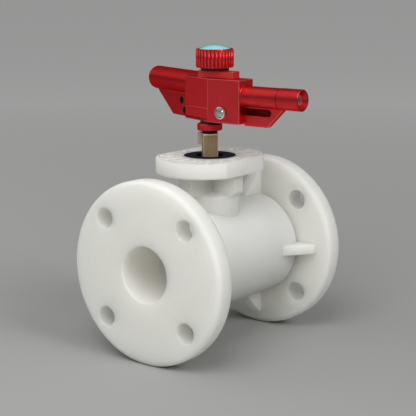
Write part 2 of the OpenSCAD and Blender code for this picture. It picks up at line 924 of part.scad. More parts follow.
module right_web() color("#9e2327") at_ball() {
    difference() {
        rotate([90, 0, 0]) translate([0, 0, -web_t / 2]) linear_extrude(web_t) polygon([
            [block_end, block_z - right_web_drop],
            [right_web_foot, block_z - right_web_drop],
            [right_web_tip, right_bar_z - right_bar_d / 2 + 2],
            [right_web_tip, right_bar_z],
            [block_end, right_bar_z]
        ]);
        on_right_axis() {
            bar_root();
            cylinder(d = right_bar_d, h = right_bar_reach);
            translate([0, 0, sleeve_x]) cylinder(d = sleeve_d, h = sleeve_l);
        }
        translate([0, -web_t / 2 - 1, 0]) {
            pocket_r = (pocket_z[1] - pocket_z[0]) / 2;
            translate([pocket_x[0] - 5, 0, pocket_z[0]])
                cube([pocket_x[1] - pocket_r - pocket_x[0] + 5, pocket_depth + 1, 2 * pocket_r]);
            translate([pocket_x[1] - pocket_r, 0, pocket_z[0] + pocket_r]) rotate([-90, 0, 0])
                cylinder(r = pocket_r, h = pocket_depth + 1);
        }
    }
}

// Button, waist, collar and tail, pushed in against the spring
module lock_button() color("#a9aaa8") at_ball() {
    collar_front = -button_collar_w / 2;
    tail_end = clip_seat + clip_t + 0.6;
    dome_r = (pow(button_r, 2) + pow(button_dome, 2)) / (2 * button_dome);
    translate([button_x, 0, button_z]) {
        intersection() {
            flow_cylinder(button_r, button_front, collar_front - button_waist_l);
            translate([0, button_front + dome_r, 0]) sphere(r = dome_r);
        }
        flow_cylinder(button_waist_r, button_front + 2 * button_dome, tail_end);
        flow_cylinder(button_r, collar_front, -collar_front);
    }
}

// One coil point of the spring, at a share of its length
function coil_point(share, side, sides, r, length) =
    let (turn = 360 * spring_turns * share, lean = 360 * side / sides)
    [
        (r + spring_wire / 2 * cos(lean)) * cos(turn),
        share * length + spring_wire / 2 * sin(lean),
        (r + spring_wire / 2 * cos(lean)) * sin(turn)
    ];

module button_spring() color("#b8b9ba") at_ball() {
    sides = 6;
    steps = 16 * spring_turns;
    start = button_collar_w / 2 + spring_wire / 2 + 0.05;
    length = spring_seat - start - spring_wire / 2 - 0.05;
    r = (button_waist_r + button_r) / 2;
    points = [for (i = [0 : steps], s = [0 : sides - 1]) coil_point(i / steps, s, sides, r, length)];
    walls = [
        for (i = [0 : steps - 1], s = [0 : sides - 1])
            let (next = (s + 1) % sides)
            [i * sides + s, i * sides + next, (i + 1) * sides + next, (i + 1) * sides + s]
    ];
    first = [[for (s = [0 : sides - 1]) sides - 1 - s]];
    last = [[for (s = [0 : sides - 1]) steps * sides + s]];
    translate([button_x, start, button_z]) polyhedron(points, concat(walls, first, last));
}

module button_clip() color("#8a8c8e") at_ball() {
    translate([button_x, 0, button_z]) difference() {
        flow_cylinder(clip_r, clip_seat, clip_seat + clip_t);
        flow_cylinder(button_waist_r, clip_seat - 1, clip_seat + 1 + clip_t);
    }
}

module knob_plate() color("#a42328") at_ball() {
    difference() {
        translate([plate_x[0], -plate_w / 2, plate_z])
            cube([plate_x[1] - plate_x[0], plate_w, plate_h]);
        translate([knob_x, 0, 0]) post(boss_r + 0.1, plate_z - 1, neck_ring_z + 1);
        for (x = plate_screw_x) translate([x, 0, 0]) {
            post(plate_screw_r, plate_z - 1, neck_ring_z + 1);
            post(screw_head_r + 0.15, neck_ring_z - screw_head_h, neck_ring_z + 1);
        }
    }
}

// Screws that hold the plate down, sunk under the knob
module plate_screws() color("#2a2a2c") at_ball() {
    for (x = plate_screw_x) translate([x, 0, 0]) difference() {
        union() {
            post(plate_screw_r, block_top - plate_screw_l, neck_ring_z - screw_head_h);
            post(screw_head_r, neck_ring_z - screw_head_h, neck_ring_z - 0.2);
        }
        translate([0, 0, neck_ring_z - screw_head_h / 2])
            cylinder(d = screw_head_r, h = screw_head_h, $fn = 6);
    }
}

module neck_ring() color("#1a161e") at_ball() {
    translate([knob_x, 0, 0])
        ring(neck_ring_d / 2, boss_r + 0.4, neck_ring_z, neck_ring_h - face_gap);
}

// Fluted knob; its boss passes the plate and turns in it
module knob() color("#a42328") at_ball() {
    edge = 1.2;
    flute_d = PI * knob_d / flute_count * flute_share;
    translate([knob_x, 0, 0]) difference() {
        union() {
            post(knob_d / 2 - edge, knob_z, knob_top);
            post(knob_d / 2, knob_z + edge, knob_top - edge);
            translate([0, 0, knob_z]) cylinder(r1 = knob_d / 2 - edge, r2 = knob_d / 2, h = edge);
            translate([0, 0, knob_top - edge])
                cylinder(r1 = knob_d / 2, r2 = knob_d / 2 - edge, h = edge);
            post(boss_r, block_top - retainer_h, knob_z + 1);
        }
        for (i = [0 : flute_count - 1]) rotate([0, 0, i * 360 / flute_count])
            translate([knob_d / 2, 0, 0])
                translate([0, 0, knob_z - 1]) cylinder(d = flute_d, h = knob_h + 2, $fn = 24);
        post(cap_d / 2, knob_top - cap_seat, knob_top + 1);
        post(plunger_r + face_gap, block_top - retainer_h - 1, plunger_top + 2.5);
    }
}

module knob_cap() color("#7ebfbb") at_ball() {
    dome_r = (pow(cap_d / 2, 2) + pow(cap_rise, 2)) / (2 * cap_rise);
    translate([knob_x, 0, knob_top - cap_seat]) {
        cylinder(d = cap_d, h = cap_seat);
        intersection() {
            translate([0, 0, cap_seat + cap_rise - dome_r]) sphere(r = dome_r);
            cylinder(d = cap_d, h = 3 * cap_rise);
        }
    }
}

// Collar that keeps the knob's boss under the plate
module knob_retainer() color("#8a8c8e") at_ball() {
    translate([knob_x, 0, 0])
        ring(retainer_r, boss_r, block_top - retainer_h, retainer_h - face_gap);
}

// Flat-sided screw that the knob moves down on the stud's head
module clamp_plunger() color("#9a9c9e") at_ball() {
    tip = 1;
    translate([knob_x, 0, 0]) {
        post(plunger_r, plunger_tip + tip, plunger_top);
        translate([0, 0, plunger_tip]) cylinder(r1 = plunger_r - 0.8, r2 = plunger_r, h = tip);
    }
}

valve_body();
end_insert();
insert_o_ring();
inlet_seat();
outlet_seat();
inlet_seat_o_ring();
outlet_seat_o_ring();
ball();
stem();
thrust_washer();
stem_o_rings();
gland_ring();
gland_o_ring();
stop_lug();
drive_stud();
stud_pin();
hub_collar();
collar_set_screw();
hub_washer();
handle_block();
cover_plate();
left_grip_bar();
right_grip_bar();
right_grip_sleeve();
left_bar_bolt();
right_bar_bolt();
left_web();
web_liners();
right_web();
lock_button();
button_spring();
button_clip();
knob_plate();
plate_screws();
neck_ring();
knob();
knob_cap();
knob_retainer();
clamp_plunger();
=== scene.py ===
import json
import math

import bmesh
import bpy
from mathutils import Matrix, Vector


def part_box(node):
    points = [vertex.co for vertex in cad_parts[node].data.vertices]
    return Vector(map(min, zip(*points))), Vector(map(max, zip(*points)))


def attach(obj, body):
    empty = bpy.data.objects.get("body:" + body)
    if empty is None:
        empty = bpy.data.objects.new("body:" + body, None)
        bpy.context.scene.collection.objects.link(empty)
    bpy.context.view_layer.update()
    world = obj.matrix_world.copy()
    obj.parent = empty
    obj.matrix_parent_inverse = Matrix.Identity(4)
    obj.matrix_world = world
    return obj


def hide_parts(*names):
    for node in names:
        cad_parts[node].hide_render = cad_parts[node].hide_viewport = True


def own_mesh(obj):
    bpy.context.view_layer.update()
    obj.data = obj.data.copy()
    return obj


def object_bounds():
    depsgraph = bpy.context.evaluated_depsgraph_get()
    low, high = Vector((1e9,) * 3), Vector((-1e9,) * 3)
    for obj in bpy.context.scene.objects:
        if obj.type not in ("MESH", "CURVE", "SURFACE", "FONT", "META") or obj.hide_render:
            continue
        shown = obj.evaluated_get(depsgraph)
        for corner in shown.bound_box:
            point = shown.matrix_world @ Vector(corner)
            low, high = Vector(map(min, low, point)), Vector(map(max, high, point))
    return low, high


bl_info = {
    "name": "Flanged ball valve",
    "version": (1, 0, 0),
    "blender": (4, 5, 0),
    "location": "View3D > Sidebar > Valve",
    "description": "Finishes, soft edges, studio and camera for a flanged plastic ball valve",
    "category": "Object",
}

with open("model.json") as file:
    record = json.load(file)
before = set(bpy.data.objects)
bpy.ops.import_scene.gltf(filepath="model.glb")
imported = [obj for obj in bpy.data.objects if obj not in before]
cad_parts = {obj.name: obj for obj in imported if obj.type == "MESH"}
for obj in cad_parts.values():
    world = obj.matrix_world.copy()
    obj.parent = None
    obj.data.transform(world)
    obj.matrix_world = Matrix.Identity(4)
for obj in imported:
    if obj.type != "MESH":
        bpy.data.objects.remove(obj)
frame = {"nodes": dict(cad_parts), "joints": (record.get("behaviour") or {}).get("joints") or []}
CAD = frame["nodes"]
CAD_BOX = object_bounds()
# Gaps of pieces that turn on each other and of pieces that are pressed together
RUN_GAP = 0.0001
PRESS_GAP = 0.00005
# Underside and boss of the knob, and the share of a rib that stands out of its core
KNOB_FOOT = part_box("neck_ring")[1].z + RUN_GAP
BOSS_RADIUS = 0.004
RIB_SHOWS = 0.9
# Turned skin of the flange faces, how much its marks show, and a radius just outside the bore,
# inside which the wall's colour is painted light
FACE_SKIN = 0.0006
MARKS_SHOW = 0.6
BORE_REACH = 0.0254
# Paler colour along the stem's edges and in a band at its top, and how much of it shows
PALE_EDGE = 0.0013
PALE_BAND = 0.0013
PALING_SHOWS = 0.85
# The pale colour is full where the rounded normal has lost this share of its match with the
# face's
FULL_PALING = 0.2
# Pocket of the right web, measured from the web's lowest corner; its box gets painted shade
POCKET_LENGTH = 0.029
POCKET_FRONT = 0.0007
POCKET_BACK = 0.0042
POCKET_BOTTOM = 0.0093
# Bevel on the button's face: inner radius, outer radius and depth
BUTTON_BEVEL = (0.0032, 0.0044, 0.0010)
# Bottom and top of the knob's grooves, measured inwards from the tips of its ribs, between which
# painted shade fades out
GROOVE_BOTTOM = 0.0009
GROOVE_TOP = 0.0002
# Shades of these against the block's red, all painted shade: darker copies of the red for the
# left web, bars and collar, and for the knob's grooves and the web's pocket
PAINTED_WEB_SHADE = 0.74
PAINTED_BAR_SHADE = 0.70
PAINTED_COLLAR_SHADE = 0.80
PAINTED_GROOVE_SHADE = 0.60
PAINTED_POCKET_SHADE = 0.16
# Shades of these against the body's white; the insert's lighter shade is painted light, standing
# in for light the body's moulding would scatter into it
INSERT_PAINTED_LIGHT = 1.14
BALL_SHADE = 1.04
# Points this near are one point, and faces that bend by less are one face
SAME_POINT = 2e-6
FLAT_BEND = math.radians(0.5)
# Edges this near the cover plate's box belong to its recess
RECESS_MARGIN = Vector((0.001, 0.001, 0.001))
# An edge is bevelled where it bends by this much and is longer than so many bevels
SHARP_BEND = math.radians(15)
LONG_EDGE = 5
# Bends that stay smooth on turned and on coiled pieces
TURNED_BEND = math.radians(30)
COILED_BEND = math.radians(70)
# Sides of the knob's core and of a rib, and a rib's width at its pointed ends
CORE_SIDES = 96
RIB_SIDES = 14
RIB_POINT = 0.2
# Rays that feel for an edge near a point
BEVEL_SAMPLES = 6
# Half of the floor's side, and the height that the lamps point at
FLOOR_REACH = 14.0
LAMP_AIM = 0.04
# Place, direction and roll of the camera
CAMERA_AT = (0.66504, -0.77064, 0.26463)
CAMERA_AHEAD = (-0.59932, 0.77534, -0.19914)
CAMERA_ROLL = math.radians(-0.343)


# Shader maths
class Wire:
    """A shader socket that takes part in Python expressions."""

    def __init__(self, tree, socket):
        self.tree = tree
        self.socket = socket

    def _maths(self, operation, first, second):
        return self.tree.add("Math", {"operation": operation}, first, second)

    def __add__(self, other):
        return self._maths("ADD", self, other)

    def __radd__(self, other):
        return self._maths("ADD", other, self)

    def __sub__(self, other):
        return self._maths("SUBTRACT", self, other)

    def __rsub__(self, other):
        return self._maths("SUBTRACT", other, self)

    def __mul__(self, other):
        return self._maths("MULTIPLY", self, other)

    def above(self, other):
        """1 where this is greater, and 0 elsewhere."""
        return self._maths("GREATER_THAN", self, other)

    def or_more(self, other):
        """The greater of two numbers."""
        return self._maths("MAXIMUM", self, other)


class Shading:
    """A shader node tree that nodes are added to."""

    def __init__(self, tree):
        self.nodes = tree.nodes
        self.links = tree.links

    def add(self, kind, settings, *values, out=0, **named):
        """Adds a node, sets it up, fills its sockets, and returns one of its outputs."""
        node = self.nodes.new("ShaderNode" + kind)
        for key, value in settings.items():
            setattr(node, key, value)
        for socket, value in list(enumerate(values)) + list(named.items()):
            self.fill(node.inputs[socket], value)
        return Wire(self, node.outputs[out])

    def fill(self, socket, value):
        """Links a wire to a socket, or writes a value in it."""
        if isinstance(value, Wire):
            self.links.new(value.socket, socket)
        else:
            socket.default_value = value

    def ramp(self, factor, *stops):
        """A colour that runs between two stops, each a factor and its colour."""
        made = self.add("ValToRGB", {}, factor)
        for element, (position, colour) in zip(made.socket.node.color_ramp.elements, stops):
            element.position = position
            element.color = colour
        return made


class Finish(Shading):
    """A material with one Principled shader, and what its colour and normal are made of."""

    def __init__(self, name):
        self.material = bpy.data.materials.new(name)
        self.material.use_nodes = True
        super().__init__(self.material.node_tree)
        self.nodes.clear()
        output = self.nodes.new("ShaderNodeOutputMaterial")
        self.shader = self.nodes.new("ShaderNodeBsdfPrincipled")
        self.links.new(self.shader.outputs[0], output.inputs["Surface"])

    def set(self, **sockets):
        """Fills sockets of the Principled shader; an underscore stands for a space."""
        for name, value in sockets.items():
            self.fill(self.shader.inputs[name.replace("_", " ")], value)

    def place(self):
        """A point on the object, in metres."""
        return self.add("TexCoord", {}, out="Object")

    def part(self, axis):
        """One coordinate of a point on the object."""
        return self.add("SeparateXYZ", {}, self.place(), out=axis)

    def from_axis(self, across, centre=(0.0, 0.0, 0.0)):
        """Distance from an axis through the centre; across and centre are 0 along the axis."""
        flat = self.add("VectorMath", {"operation": "MULTIPLY"}, self.place(), across)
        return self.add("VectorMath", {"operation": "DISTANCE"}, flat, centre, out="Value")

    def rise(self, value, start, end):
        """A number that goes from 0 to 1 while the value goes from start to end."""
        return self.add("MapRange", {}, value, **{"From Min": start, "From Max": end})

    def noise(self, per_metre, detail=2.0, rough=0.5, where=None):
        """Mottling with so many spots to the metre, on the object's own points or others."""
        where = where or self.place()
        return self.add(
            "TexNoise", {}, Vector=where, Scale=per_metre, Detail=detail, Roughness=rough
        )

    def between(self, factor, low, high):
        """A number that runs from low to high with the factor."""
        return factor * (high - low) + low

    def blend(self, factor, first, second):
        """Mixes two colours."""
        mix = self.nodes.new("ShaderNodeMix")
        mix.data_type = "RGBA"
        # A Mix node's colour sockets come after those for numbers and vectors
        self.fill(mix.inputs[0], factor)
        self.fill(mix.inputs[6], first)
        self.fill(mix.inputs[7], second)
        return Wire(self, mix.outputs[2])

    def shades(self, factor, colour, first, second):
        """Mixes two shades of one colour."""
        return self.blend(factor, tint(colour, first), tint(colour, second))

    def rounded(self, radius):
        """A normal that rounds the edges by this radius."""
        return self.add("Bevel", {"samples": BEVEL_SAMPLES}, Radius=radius)

    def paling(self, radius):
        """How near a point is to a sharp edge, from 0 to 1."""
        flat = self.add("NewGeometry", {}, out="True Normal")
        turned = self.rounded(radius)
        match = self.add("VectorMath", {"operation": "DOT_PRODUCT"}, turned, flat, out="Value")
        return self.rise(match, 1.0, 1.0 - FULL_PALING)

    def raised(self, height, depth, normal=None):
        """A normal that follows a height, on top of another normal."""
        values = {"Height": height, "Distance": depth, "Strength": 1.0}
        if normal:
            values["Normal"] = normal
        return self.add("Bump", {}, **values)

    def bumped(self, height, depth, edge=0.0):
        """A normal that follows a height and rounds the edges by a radius."""
        return self.raised(height, depth, self.rounded(edge) if edge else None)


def tint(colour, share):
    """A darker or lighter shade of a colour."""
    return [min(1.0, channel * share) for channel in colour[:3]] + [1.0]


def middle(node):
    """Middle of a CAD node's box."""
    low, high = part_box(node)
    return (low + high) / 2


# Settings
def colour_of(name, text, value):
    return bpy.props.FloatVectorProperty(
        name=name, description=text, subtype="COLOR", size=4, min=0.0, max=1.0, default=value
    )


def length_of(name, text, value):
    return bpy.props.FloatProperty(
        name=name, description=text, subtype="DISTANCE", unit="LENGTH", min=0.0, default=value
    )


def power_of(name, text, value):
    return bpy.props.FloatProperty(
        name=name, description=text, unit="POWER", min=0.0, default=value
    )


class ValveFinishes(bpy.types.PropertyGroup):
    """Colours of the valve"""

    moulding: colour_of("Moulding", "White plastic of the body", (0.778, 0.774, 0.720, 1.0))
    # The bore's colour is painted light: lighter and warmer than the body's white, standing in
    # for light scattered into the bore and for its warm shade
    bore: colour_of("Bore", "White plastic of the bore's wall", (0.89, 0.87, 0.80, 1.0))
    seat: colour_of("Seats", "Plastic of the seats and washer", (0.80, 0.80, 0.79, 1.0))
    seal: colour_of("Seals", "Rubber of the rings", (0.012, 0.012, 0.014, 1.0))
    gland: colour_of("Gland", "Ring in the pad", (0.004, 0.007, 0.017, 1.0))
    stem: colour_of("Stem", "Machined plastic of the stem", (0.215, 0.15, 0.082, 1.0))
    # Paler colour along the stem's edges and in a band under its top
    paler: colour_of("Pale stem edges", "Edges of the stem", (0.66, 0.55, 0.38, 1.0))
    lug: colour_of("Lug", "Plastic of the stop lug", (0.335, 0.285, 0.235, 1.0))
    anodised: colour_of("Handle", "Anodised aluminium", (1.0, 0.058, 0.068, 1.0))
    # The bevels' lighter red is a painted highlight along the handle's edges
    bright: colour_of("Handle edges", "Bevels that catch the light", (1.0, 0.19, 0.17, 1.0))
    steel: colour_of("Steel", "Turned steel", (0.78, 0.78, 0.77, 1.0))
    tinted: colour_of("Tinted steel", "Screw in the right bar", (0.85, 0.45, 0.42, 1.0))
    black_steel: colour_of("Black steel", "Screws and stud", (0.018, 0.018, 0.020, 1.0))
    cap: colour_of("Cap", "Domed cap on the knob", (0.27, 0.93, 0.96, 1.0))
    # The cap's bright flecks are partly painted glints and partly mottled colour
    cap_bright: colour_of("Bright cap", "Bright flecks of the cap", (0.42, 1.0, 1.0, 1.0))


class ValveEdges(bpy.types.PropertyGroup):
    """Sizes of the edges and the knob's ribs"""

    moulding: length_of("Moulding edge", "Rounding of the moulded edges", 0.0016)
    block: length_of("Block edge", "Bevel of the handle block", 0.0007)
    bar: length_of("Bar edge", "Bevel of the bars, webs and plates", 0.0006)
    rib_depth: length_of("Rib depth", "How far the knob's ribs stand out", 0.0011)
    knob_chamfer: length_of("Knob chamfer", "Bevel at the knob's ends", 0.0011)
    ribs: bpy.props.IntProperty(
        name="Ribs", description="Number of ribs around the knob", min=12, max=60, default=30
    )


class ValveStudio(bpy.types.PropertyGroup):
    """Light, floor and camera"""

    floor: colour_of("Floor", "Grey of the floor", (0.352, 0.352, 0.346, 1.0))
    room: colour_of("Room", "Light of the room", (0.21, 0.213, 0.217, 1.0))
    front: power_of("Front light", "Power of the light in front", 4.4)
    top: power_of("Top light", "Power of the light above", 11.3)
    left: power_of("Left light", "Power of the soft light on the left", 1.6)
    side: bpy.props.FloatProperty(
        name="Side light", description="Strength of the light on the right", min=0.0, default=1.2
    )
    lens: bpy.props.FloatProperty(
        name="Lens", description="Focal length", unit="CAMERA", min=10.0, default=106.43
    )


# Finishes
def white_moulding(name, colour, edge, depth=0.042, turned=None):
    """Translucent white; turned gives the inlet's and outlet's places and the bore's colour,
    which paints light and warm shade into the bore.
    """
    finish = Finish(name)
    cloud = finish.noise(26.0, detail=3.0, rough=0.55)
    base = finish.shades(cloud, colour, 0.95, 1.04)
    if turned:
        inlet, outlet, bore = turned
        away = finish.from_axis((1.0, 0.0, 1.0))
        rings = finish.noise(520.0, where=finish.add("CombineXYZ", {}, away))
        marks = finish.shades(rings, colour, 0.93, 1.06)
        along = finish.part(1)
        on_faces = along.above(outlet - FACE_SKIN) + 1.0 - along.above(inlet + FACE_SKIN)
        base = finish.blend(on_faces * MARKS_SHOW, base, marks)
        # Painted light: inside this radius the bore's wall takes the bore's lighter, warmer
        # colour
        base = finish.blend(away.above(BORE_REACH), bore, base)
    grain = finish.noise(1500.0)
    finish.set(Base_Color=base, Roughness=finish.between(finish.noise(140.0), 0.46, 0.6))
    finish.set(Specular_IOR_Level=0.25, Normal=finish.bumped(grain, 0.00003, edge))
    finish.set(Subsurface_Weight=0.85, Subsurface_Scale=depth)
    finish.set(Subsurface_Radius=(1.0, 0.98, 0.93))
    return finish.material


def plain_plastic(name, colour, rough, edge, gloss=0.5):
    """Opaque plastic with a faint cloud."""
    finish = Finish(name)
    cloud = finish.noise(90.0, detail=3.0)
    haze = finish.noise(400.0)
    finish.set(Base_Color=finish.shades(cloud, colour, 0.88, 1.1))
    finish.set(Roughness=finish.between(haze, rough - 0.06, rough + 0.08))
    finish.set(Specular_IOR_Level=gloss)
    finish.set(Normal=finish.bumped(finish.noise(2200.0), 0.00002, edge))
    return finish.material


def rubber(name, colour):
    """Dull black with a fine grain."""
    finish = Finish(name)
    finish.set(Base_Color=finish.shades(finish.noise(300.0), colour, 1.0, 1.8))
    finish.set(Roughness=finish.between(finish.noise(700.0), 0.5, 0.7))
    finish.set(Specular_IOR_Level=0.2, Normal=finish.bumped(finish.noise(3000.0), 0.00002))
    return finish.material


def machined_plastic(name, colour, paler, top):
    """Streaked plastic, paler along its edges and in a band just under its top."""
    finish = Finish(name)
    drawn_out = finish.add("Mapping", {}, finish.place(), Scale=(1.0, 1.0, 0.05))
    streaks = finish.noise(900.0, where=drawn_out)
    band = finish.part(2).above(top - PALE_BAND) * (0.35 + streaks)
    paling = finish.paling(PALE_EDGE).or_more(band)
    base = finish.shades(streaks, colour, 0.72, 1.22)
    finish.set(Base_Color=finish.blend(paling * PALING_SHOWS, base, paler))
    finish.set(Roughness=finish.between(streaks, 0.36, 0.5))
    finish.set(Normal=finish.bumped(streaks, 0.00004, 0.0005))
    return finish.material


def anodised(name, colour, edge=0.0, pocket=None, flutes=None, metallic=0.97):
    """Satin red metal, with painted shade in the box of a milled pocket and in the grooves of a
    knob.
    """
    finish = Finish(name)
    base = finish.shades(finish.noise(45.0), colour, 0.9, 1.1)
    if pocket:
        inside = 1.0
        for axis, (low, high) in enumerate(zip(*pocket)):
            along = finish.part(axis)
            inside = along.above(low) * (1.0 - along.above(high)) * inside
        # Painted shade: the pocket's box is a dark copy of the red
        base = finish.blend(inside, base, tint(colour, PAINTED_POCKET_SHADE))
    if flutes:
        centre, bottom, top = flutes
        ridge = finish.rise(finish.from_axis((1.0, 1.0, 0.0), centre), bottom, top)
        # Painted shade in the knob's grooves, fading out towards the ridges
        base = finish.blend(ridge, tint(colour, PAINTED_GROOVE_SHADE), base)
    satin = finish.noise(2600.0)
    finish.set(Base_Color=base, Metallic=metallic, Specular_Tint=(1.0, 0.30, 0.30, 1.0))
    finish.set(Roughness=finish.between(satin, 0.34, 0.42))
    finish.set(Normal=finish.bumped(satin, 0.000006, edge))
    return finish.material


def turned_metal(name, colour, rough, edge, bevel=None):
    """Bare metal; bevel gives a centre, inner radius, outer radius and depth on its face."""
    finish = Finish(name)
    fine = finish.noise(1800.0)
    base = finish.shades(fine, colour, 0.85, 1.0)
    normal = finish.rounded(edge)
    if bevel:
        centre, inner, outer, depth = bevel
        face = finish.rise(finish.from_axis((1.0, 0.0, 1.0), centre), outer, inner)
        normal = finish.raised(face, depth, normal)
        base = finish.blend(face, base, tint(colour, 0.88))
    finish.set(Base_Color=base, Metallic=1.0)
    finish.set(Roughness=finish.between(finish.noise(500.0), rough - 0.06, rough + 0.08))
    finish.set(Normal=finish.raised(fine, 0.00001, normal))
    return finish.material


def glossy_cap(name, colour, bright):
    """Clear-coated cyan with bright flecks, partly painted glints and partly mottled colour."""
    finish = Finish(name)
    flecks = finish.noise(620.0)
    finish.set(Base_Color=finish.blend(flecks, tint(colour, 0.6), bright), Metallic=0.2)
    finish.set(Roughness=finish.between(flecks, 0.10, 0.2))
    finish.set(Coat_Weight=1.0, Coat_Roughness=0.05, Normal=finish.rounded(0.0006))
    return finish.material


# Pieces
def dress(finish, *names):
    """Gives CAD nodes a material."""
    for name in names:
        slots = CAD[name].material_slots
        if not slots:
            CAD[name].data.materials.append(finish)
        for slot in slots:
            slot.material = finish


def clean_copy(node, name):
    """A joined and simplified copy of a CAD node's mesh."""
    build = bmesh.new()
    build.from_mesh(CAD[node].data)
    bmesh.ops.remove_doubles(build, verts=build.verts, dist=SAME_POINT)
    bmesh.ops.dissolve_limit(
        build, angle_limit=FLAT_BEND, verts=build.verts, edges=build.edges
    )
    mesh = bpy.data.meshes.new(name)
    build.to_mesh(mesh)
    build.free()
    return mesh


def shade(mesh, bend):
    """Smooth shading, with sharp edges where the mesh bends by more than this."""
    mesh.polygons.foreach_set("use_smooth", [True] * len(mesh.polygons))
    mesh.set_sharp_from_angle(angle=bend)


def link(name, mesh, finish, body):
    """An object for a mesh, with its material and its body."""
    piece = bpy.data.objects.new(name, mesh)
    bpy.context.scene.collection.objects.link(piece)
    mesh.materials.append(finish)
    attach(piece, body)
    return piece


def settle(piece):
    """Turns a piece and its modifiers into a plain mesh."""
    bpy.context.view_layer.update()
    graph = bpy.context.evaluated_depsgraph_get()
    mesh = bpy.data.meshes.new_from_object(piece.evaluated_get(graph), depsgraph=graph)
    old = piece.data
    piece.modifiers.clear()
    piece.data = mesh
    bpy.data.meshes.remove(old)


def mark_edges(build, width, recess):
    """Weighs the outer edges that have room for a bevel and aren't in the recess."""
    weight = build.edges.layers.float.new("bevel_weight_edge")
    for edge in build.edges:
        half = (edge.verts[0].co + edge.verts[1].co) / 2
        cut_in = recess and all(
            low < at < high for low, at, high in zip(recess[0], half, recess[1])
        )
        bent = len(edge.link_faces) == 2 and edge.calc_face_angle_signed(0.0) > SHARP_BEND
        edge[weight] = float(bent and edge.calc_length() > LONG_EDGE * width and not cut_in)


def edged(node, finish, edge_finish, body, width, recess=None):
    """A bevelled piece that stands for a CAD node; edges in the recess stay sharp."""
    mesh = clean_copy(node, node + "_edged")
    build = bmesh.new()
    build.from_mesh(mesh)
    if recess:
        # Edges that run past the recess are cut at its top, so that each part is in it or not
        whole = build.verts[:] + build.edges[:] + build.faces[:]
        top = (0.0, 0.0, recess[1].z)
        bmesh.ops.bisect_plane(build, geom=whole, plane_co=top, plane_no=(0.0, 0.0, 1.0))
    mark_edges(build, width, recess)
    build.to_mesh(mesh)
    build.free()
    shade(mesh, SHARP_BEND)
    piece = link(node + "_edged", mesh, finish, body)
    mesh.materials.append(edge_finish)
    bevel = piece.modifiers.new("edges", "BEVEL")
    bevel.width = width
    bevel.segments = 2
    bevel.limit_method = "WEIGHT"
    bevel.use_clamp_overlap = False
    # Bevel faces take the second material, the painted highlight
    bevel.material = 1
    weighted = piece.modifiers.new("flat_faces", "WEIGHTED_NORMAL")
    weighted.weight = 100
    settle(piece)
    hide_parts(node)


def lathe(name, profile, centre, sides):
    """A closed mesh turned about an upright axis from a closed half profile."""
    mesh = bpy.data.meshes.new(name)
    build = bmesh.new()
    rings = []
    for side in range(sides):
        turn = 2 * math.pi * side / sides
        out = Vector((math.cos(turn), math.sin(turn), 0.0))
        rings.append([
            build.verts.new((centre.x + radius * out.x, centre.y + radius * out.y, height))
            for radius, height in profile
        ])
    for side, ring in enumerate(rings):
        after = rings[(side + 1) % sides]
        for point in range(len(profile)):
            beyond = (point + 1) % len(profile)
            build.faces.new((ring[point], after[point], after[beyond], ring[beyond]))
    bmesh.ops.recalc_face_normals(build, faces=build.faces)
    build.to_mesh(mesh)
    build.free()
    shade(mesh, TURNED_BEND)
    return mesh


